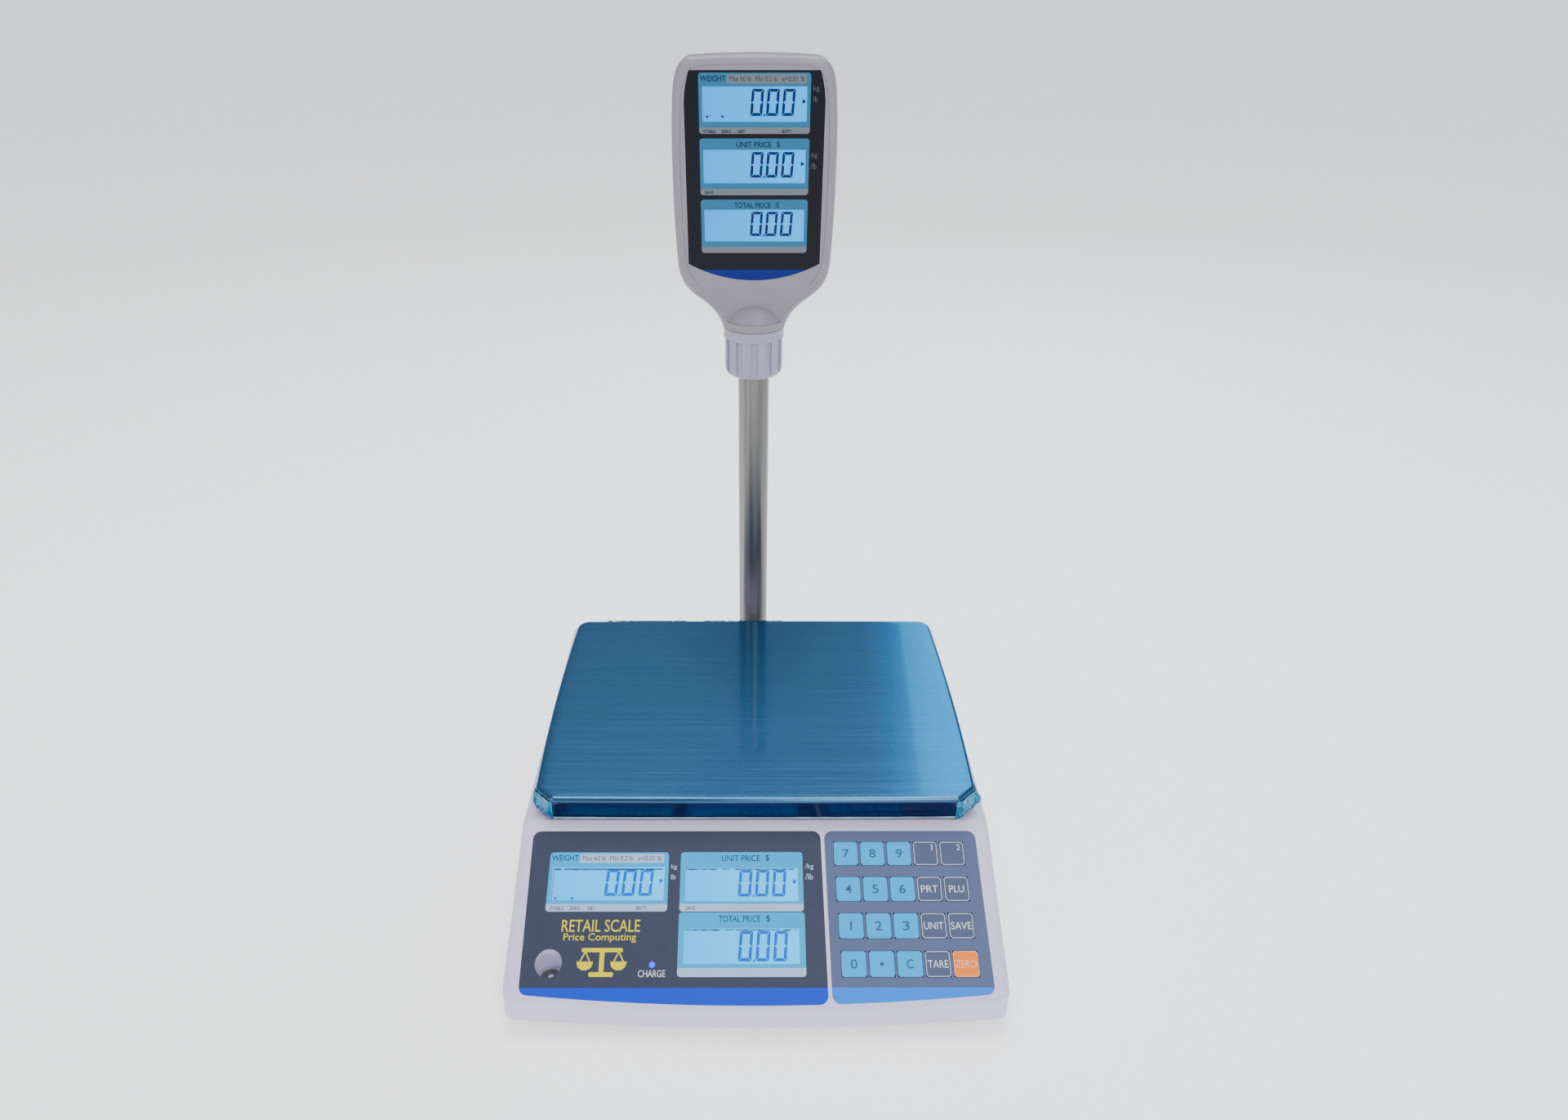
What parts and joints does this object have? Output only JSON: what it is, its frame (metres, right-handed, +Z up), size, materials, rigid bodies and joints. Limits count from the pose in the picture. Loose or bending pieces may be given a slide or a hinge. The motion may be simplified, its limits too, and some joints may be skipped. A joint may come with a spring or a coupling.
{
  "type": "retail price scale",
  "caption": "Counter-top price scale: wedge housing with lit displays and keypad, lift-off tray on a load cell, swivelling customer display on a rear pole.",
  "frame": {"origin": "on the counter, under the middle of the whole scale's footprint with the feet screwed in", "axes": "+X to the operator's right, +Y back from the operator to the pole, +Z up; the longest extent is the height along Z"},
  "size_m": [0.3532, 0.4599, 0.592],
  "materials": {
    "white_abs": "fine satin moulded",
    "dark_abs": "matt moulded",
    "rocker_black": "gloss",
    "steel": "brushed along X",
    "film_blue": "thin clear blue film",
    "stainless_tube": "polished tube",
    "zinc_steel": "zinc plated",
    "cast_aluminium": "cast and milled",
    "rubber_black": "matt",
    "overlay_grey": "printed polycarbonate",
    "overlay_black": "printed polycarbonate",
    "lcd_lit": "backlit display",
    "key_blue": "printed membrane key",
    "key_dark": "printed membrane key",
    "key_orange": "printed membrane key",
    "led_blue": "lens",
    "level_vial": "vial",
    "board_green": "solder mask",
    "battery_case": "matt case",
    "bracket_grey": "powder coated",
    "sleeve_nylon": "nylon"
  },
  "bodies": {
    "base": {"top_cover": "white_abs", "bottom_cover": "dark_abs", "housing_screws": "zinc_steel", "load_cell": "cast_aluminium", "load_cell_bolts": "zinc_steel", "main_board": "board_green", "lcd_weight": "lcd_lit", "lcd_unit_price": "lcd_lit", "lcd_total_price": "lcd_lit", "display_overlay": "overlay_grey", "keypad_membrane": "overlay_grey", "charge_led": "led_blue", "bubble_level": "level_vial", "battery": "battery_case", "power_switch": "dark_abs", "power_jack": "dark_abs", "pole_bracket": "bracket_grey", "bracket_screws": "zinc_steel", "pole": "stainless_tube", "pole_cap": "sleeve_nylon"},
    "tray_cross": {"pan_support": "cast_aluminium", "support_bolts": "zinc_steel", "pan_bumpers": "rubber_black"},
    "tray": {"weighing_pan": "steel", "pan_film": "film_blue"},
    "head": {"head_front": "white_abs", "head_rear": "white_abs", "head_overlay": "overlay_black", "head_lcd_weight": "lcd_lit", "head_lcd_unit_price": "lcd_lit", "head_lcd_total_price": "lcd_lit", "head_screws": "zinc_steel", "neck_sleeve": "sleeve_nylon"},
    "collar": {"lock_collar": "white_abs"},
    "battery_hatch": {"battery_cover": "dark_abs"},
    "rocker": {"power_rocker": "rocker_black"},
    "foot_front_left": {"foot_front_left": "rubber_black"},
    "foot_front_right": {"foot_front_right": "rubber_black"},
    "foot_rear_left": {"foot_rear_left": "rubber_black"},
    "foot_rear_right": {"foot_rear_right": "rubber_black"},
    "key_seven": {"key_seven": "key_blue"},
    "key_eight": {"key_eight": "key_blue"},
    "key_nine": {"key_nine": "key_blue"},
    "key_memory_one": {"key_memory_one": "key_dark"},
    "key_memory_two": {"key_memory_two": "key_dark"},
    "key_four": {"key_four": "key_blue"},
    "key_five": {"key_five": "key_blue"},
    "key_six": {"key_six": "key_blue"},
    "key_print": {"key_print": "key_dark"},
    "key_lookup": {"key_lookup": "key_dark"},
    "key_one": {"key_one": "key_blue"},
    "key_two": {"key_two": "key_blue"},
    "key_three": {"key_three": "key_blue"},
    "key_unit": {"key_unit": "key_dark"},
    "key_save": {"key_save": "key_dark"},
    "key_zero": {"key_zero": "key_blue"},
    "key_point": {"key_point": "key_blue"},
    "key_clear": {"key_clear": "key_blue"},
    "key_tare": {"key_tare": "key_dark"},
    "key_zero_set": {"key_zero_set": "key_orange"}
  },
  "joints": [
    {"name": "tray_lift", "type": "slide", "parent": "tray_cross", "child": "tray", "axis": [0, 0, 1], "range_m": [0, 0.06]},
    {"name": "load_travel", "type": "slide", "parent": "base", "child": "tray_cross", "axis": [0, 0, -1], "range_m": [0, 0.0005], "stiffness_N_per_m": 60000, "springref_m": -0.0005},
    {"name": "display_swivel", "type": "hinge", "parent": "base", "child": "head", "pos_m": [0, 0.203, 0.376], "axis": [0, 0, 1], "range_deg": [-165, 165]},
    {"name": "collar_turn", "type": "hinge", "parent": "head", "child": "collar", "pos_m": [0, 0.203, 0.35], "axis": [0, 0, 1], "range_deg": [0, 90]},
    {"name": "power_tip", "type": "hinge", "parent": "base", "child": "rocker", "pos_m": [0.11, 0.173, 0.044], "axis": [1, 0, 0], "range_deg": [0, 18]},
    {"name": "battery_hatch_slide", "type": "slide", "parent": "base", "child": "battery_hatch", "axis": [0, -1, 0], "range_m": [0, 0.1]},
    {"name": "foot_front_left_screw", "type": "slide", "parent": "base", "child": "foot_front_left", "axis": [0, 0, -1], "range_m": [0, 0.008]},
    {"name": "foot_front_right_screw", "type": "slide", "parent": "base", "child": "foot_front_right", "axis": [0, 0, -1], "range_m": [0, 0.008]},
    {"name": "foot_rear_left_screw", "type": "slide", "parent": "base", "child": "foot_rear_left", "axis": [0, 0, -1], "range_m": [0, 0.008]},
    {"name": "foot_rear_right_screw", "type": "slide", "parent": "base", "child": "foot_rear_right", "axis": [0, 0, -1], "range_m": [0, 0.008]},
    {"name": "key_seven_press", "type": "slide", "parent": "base", "child": "key_seven", "axis": [0, 0.4872, -0.8733], "range_m": [0, 0.0005], "stiffness_N_per_m": 1200, "springref_m": -0.0004},
    {"name": "key_eight_press", "type": "slide", "parent": "base", "child": "key_eight", "axis": [0, 0.4872, -0.8733], "range_m": [0, 0.0005], "stiffness_N_per_m": 1200, "springref_m": -0.0004},
    {"name": "key_nine_press", "type": "slide", "parent": "base", "child": "key_nine", "axis": [0, 0.4872, -0.8733], "range_m": [0, 0.0005], "stiffness_N_per_m": 1200, "springref_m": -0.0004},
    {"name": "key_memory_one_press", "type": "slide", "parent": "base", "child": "key_memory_one", "axis": [0, 0.4872, -0.8733], "range_m": [0, 0.0005], "stiffness_N_per_m": 1200, "springref_m": -0.0004},
    {"name": "key_memory_two_press", "type": "slide", "parent": "base", "child": "key_memory_two", "axis": [0, 0.4872, -0.8733], "range_m": [0, 0.0005], "stiffness_N_per_m": 1200, "springref_m": -0.0004},
    {"name": "key_four_press", "type": "slide", "parent": "base", "child": "key_four", "axis": [0, 0.4872, -0.8733], "range_m": [0, 0.0005], "stiffness_N_per_m": 1200, "springref_m": -0.0004},
    {"name": "key_five_press", "type": "slide", "parent": "base", "child": "key_five", "axis": [0, 0.4872, -0.8733], "range_m": [0, 0.0005], "stiffness_N_per_m": 1200, "springref_m": -0.0004},
    {"name": "key_six_press", "type": "slide", "parent": "base", "child": "key_six", "axis": [0, 0.4872, -0.8733], "range_m": [0, 0.0005], "stiffness_N_per_m": 1200, "springref_m": -0.0004},
    {"name": "key_print_press", "type": "slide", "parent": "base", "child": "key_print", "axis": [0, 0.4872, -0.8733], "range_m": [0, 0.0005], "stiffness_N_per_m": 1200, "springref_m": -0.0004},
    {"name": "key_lookup_press", "type": "slide", "parent": "base", "child": "key_lookup", "axis": [0, 0.4872, -0.8733], "range_m": [0, 0.0005], "stiffness_N_per_m": 1200, "springref_m": -0.0004},
    {"name": "key_one_press", "type": "slide", "parent": "base", "child": "key_one", "axis": [0, 0.4872, -0.8733], "range_m": [0, 0.0005], "stiffness_N_per_m": 1200, "springref_m": -0.0004},
    {"name": "key_two_press", "type": "slide", "parent": "base", "child": "key_two", "axis": [0, 0.4872, -0.8733], "range_m": [0, 0.0005], "stiffness_N_per_m": 1200, "springref_m": -0.0004},
    {"name": "key_three_press", "type": "slide", "parent": "base", "child": "key_three", "axis": [0, 0.4872, -0.8733], "range_m": [0, 0.0005], "stiffness_N_per_m": 1200, "springref_m": -0.0004},
    {"name": "key_unit_press", "type": "slide", "parent": "base", "child": "key_unit", "axis": [0, 0.4872, -0.8733], "range_m": [0, 0.0005], "stiffness_N_per_m": 1200, "springref_m": -0.0004},
    {"name": "key_save_press", "type": "slide", "parent": "base", "child": "key_save", "axis": [0, 0.4872, -0.8733], "range_m": [0, 0.0005], "stiffness_N_per_m": 1200, "springref_m": -0.0004},
    {"name": "key_zero_press", "type": "slide", "parent": "base", "child": "key_zero", "axis": [0, 0.4872, -0.8733], "range_m": [0, 0.0005], "stiffness_N_per_m": 1200, "springref_m": -0.0004},
    {"name": "key_point_press", "type": "slide", "parent": "base", "child": "key_point", "axis": [0, 0.4872, -0.8733], "range_m": [0, 0.0005], "stiffness_N_per_m": 1200, "springref_m": -0.0004},
    {"name": "key_clear_press", "type": "slide", "parent": "base", "child": "key_clear", "axis": [0, 0.4872, -0.8733], "range_m": [0, 0.0005], "stiffness_N_per_m": 1200, "springref_m": -0.0004},
    {"name": "key_tare_press", "type": "slide", "parent": "base", "child": "key_tare", "axis": [0, 0.4872, -0.8733], "range_m": [0, 0.0005], "stiffness_N_per_m": 1200, "springref_m": -0.0004},
    {"name": "key_zero_set_press", "type": "slide", "parent": "base", "child": "key_zero_set", "axis": [0, 0.4872, -0.8733], "range_m": [0, 0.0005], "stiffness_N_per_m": 1200, "springref_m": -0.0004}
  ]
}
